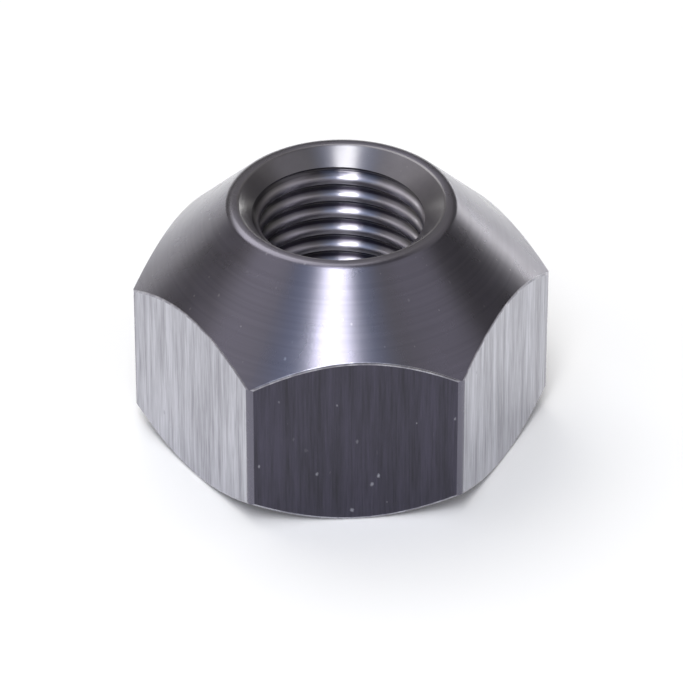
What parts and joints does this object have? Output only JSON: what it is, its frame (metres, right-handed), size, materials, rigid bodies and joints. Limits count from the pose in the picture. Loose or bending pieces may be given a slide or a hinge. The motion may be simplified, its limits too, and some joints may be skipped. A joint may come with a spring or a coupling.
{
  "type": "wheel nut",
  "caption": "Open-ended wheel nut with a hexagonal body, a conical seat, a chamfered flat end and a fine threaded through hole, in black anodised aluminium.",
  "frame": {"origin": "centre of the flat end, on the axis of the hole", "axes": "+Z along the axis from the flat end to the small end of the seat, -Y square to one flat of the hexagon, +X through a corner"},
  "size_m": [0.0218, 0.019, 0.0135],
  "materials": {
    "anodised_aluminium": "black anodised, satin, drawn flats and turned ends"
  },
  "bodies": {
    "root": {"wheel_nut": "anodised_aluminium"}
  },
  "joints": []
}
